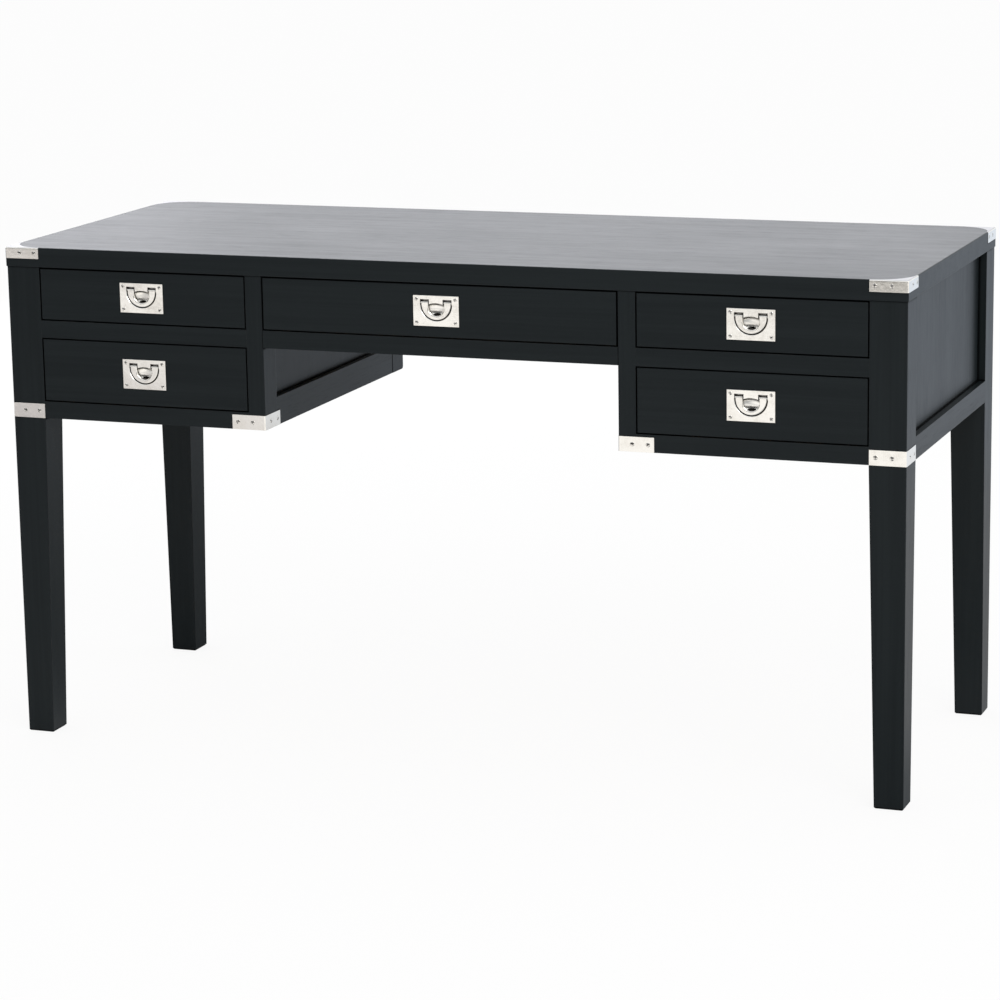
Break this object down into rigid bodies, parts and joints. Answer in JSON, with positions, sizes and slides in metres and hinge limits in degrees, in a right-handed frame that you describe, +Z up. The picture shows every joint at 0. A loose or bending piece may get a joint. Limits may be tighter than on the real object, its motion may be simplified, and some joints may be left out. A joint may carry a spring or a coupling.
{
  "type": "campaign desk",
  "caption": "Black lacquered campaign desk: flat top on tapered corner legs, drawer pedestals either side of a knee space, nickel corner fittings and flush bail pulls.",
  "frame": {"origin": "on the floor, under the middle of the top", "axes": "+X to the right end, +Y to the back, +Z up; a sitter faces +Y"},
  "size_m": [1.4022, 0.5622, 0.762],
  "materials": {
    "black_lacquer": "satin black lacquer over fine-grained wood",
    "bare_wood": "clear-sealed hardwood",
    "nickel": "polished nickel"
  },
  "bodies": {
    "carcass": {"back_apron": "black_lacquer", "back_leg_left": "black_lacquer", "back_leg_right": "black_lacquer", "back_panel_left": "black_lacquer", "back_panel_right": "black_lacquer", "back_rail_left": "black_lacquer", "back_rail_right": "black_lacquer", "back_stile_left": "black_lacquer", "back_stile_right": "black_lacquer", "centre_drawer_runners": "bare_wood", "centre_rail": "black_lacquer", "corner_screws": "nickel", "desk_top": "black_lacquer", "drawer_rail_left": "black_lacquer", "drawer_rail_right": "black_lacquer", "drawer_runners_left": "bare_wood", "drawer_runners_right": "bare_wood", "drawer_stops": "bare_wood", "front_leg_left": "black_lacquer", "front_leg_right": "black_lacquer", "front_stile_left": "black_lacquer", "front_stile_right": "black_lacquer", "inner_side_panel_left": "black_lacquer", "inner_side_panel_right": "black_lacquer", "inner_side_rail_left": "black_lacquer", "inner_side_rail_right": "black_lacquer", "lower_corner_brackets": "nickel", "lower_front_rail_left": "black_lacquer", "lower_front_rail_right": "black_lacquer", "outer_side_panel_left": "black_lacquer", "outer_side_panel_right": "black_lacquer", "outer_side_rail_left": "black_lacquer", "outer_side_rail_right": "black_lacquer", "top_corner_caps": "nickel"},
    "drawer_upper_left": {"drawer_front_upper_left": "black_lacquer", "drawer_box_upper_left": "bare_wood", "handle_plate_upper_left": "nickel", "handle_screws_upper_left": "nickel"},
    "bail_upper_left": {"handle_bail_upper_left": "nickel"},
    "drawer_lower_left": {"drawer_front_lower_left": "black_lacquer", "drawer_box_lower_left": "bare_wood", "handle_plate_lower_left": "nickel", "handle_screws_lower_left": "nickel"},
    "bail_lower_left": {"handle_bail_lower_left": "nickel"},
    "drawer_centre": {"drawer_front_centre": "black_lacquer", "drawer_box_centre": "bare_wood", "handle_plate_centre": "nickel", "handle_screws_centre": "nickel"},
    "bail_centre": {"handle_bail_centre": "nickel"},
    "drawer_upper_right": {"drawer_front_upper_right": "black_lacquer", "drawer_box_upper_right": "bare_wood", "handle_plate_upper_right": "nickel", "handle_screws_upper_right": "nickel"},
    "bail_upper_right": {"handle_bail_upper_right": "nickel"},
    "drawer_lower_right": {"drawer_front_lower_right": "black_lacquer", "drawer_box_lower_right": "bare_wood", "handle_plate_lower_right": "nickel", "handle_screws_lower_right": "nickel"},
    "bail_lower_right": {"handle_bail_lower_right": "nickel"}
  },
  "joints": [
    {"name": "drawer_upper_left_slide", "type": "slide", "parent": "carcass", "child": "drawer_upper_left", "axis": [0, -1, 0], "range_m": [0, 0.36]},
    {"name": "bail_upper_left_swing", "type": "hinge", "parent": "drawer_upper_left", "child": "bail_upper_left", "pos_m": [-0.47415, -0.2778, 0.7034], "axis": [-1, 0, 0], "range_deg": [0, 90]},
    {"name": "drawer_lower_left_slide", "type": "slide", "parent": "carcass", "child": "drawer_lower_left", "axis": [0, -1, 0], "range_m": [0, 0.36]},
    {"name": "bail_lower_left_swing", "type": "hinge", "parent": "drawer_lower_left", "child": "bail_lower_left", "pos_m": [-0.47415, -0.2778, 0.58715], "axis": [-1, 0, 0], "range_deg": [0, 90]},
    {"name": "drawer_centre_slide", "type": "slide", "parent": "carcass", "child": "drawer_centre", "axis": [0, -1, 0], "range_m": [0, 0.36]},
    {"name": "bail_centre_swing", "type": "hinge", "parent": "drawer_centre", "child": "bail_centre", "pos_m": [0, -0.2778, 0.7034], "axis": [-1, 0, 0], "range_deg": [0, 90]},
    {"name": "drawer_upper_right_slide", "type": "slide", "parent": "carcass", "child": "drawer_upper_right", "axis": [0, -1, 0], "range_m": [0, 0.36]},
    {"name": "bail_upper_right_swing", "type": "hinge", "parent": "drawer_upper_right", "child": "bail_upper_right", "pos_m": [0.47415, -0.2778, 0.7034], "axis": [-1, 0, 0], "range_deg": [0, 90]},
    {"name": "drawer_lower_right_slide", "type": "slide", "parent": "carcass", "child": "drawer_lower_right", "axis": [0, -1, 0], "range_m": [0, 0.36]},
    {"name": "bail_lower_right_swing", "type": "hinge", "parent": "drawer_lower_right", "child": "bail_lower_right", "pos_m": [0.47415, -0.2778, 0.58715], "axis": [-1, 0, 0], "range_deg": [0, 90]}
  ]
}
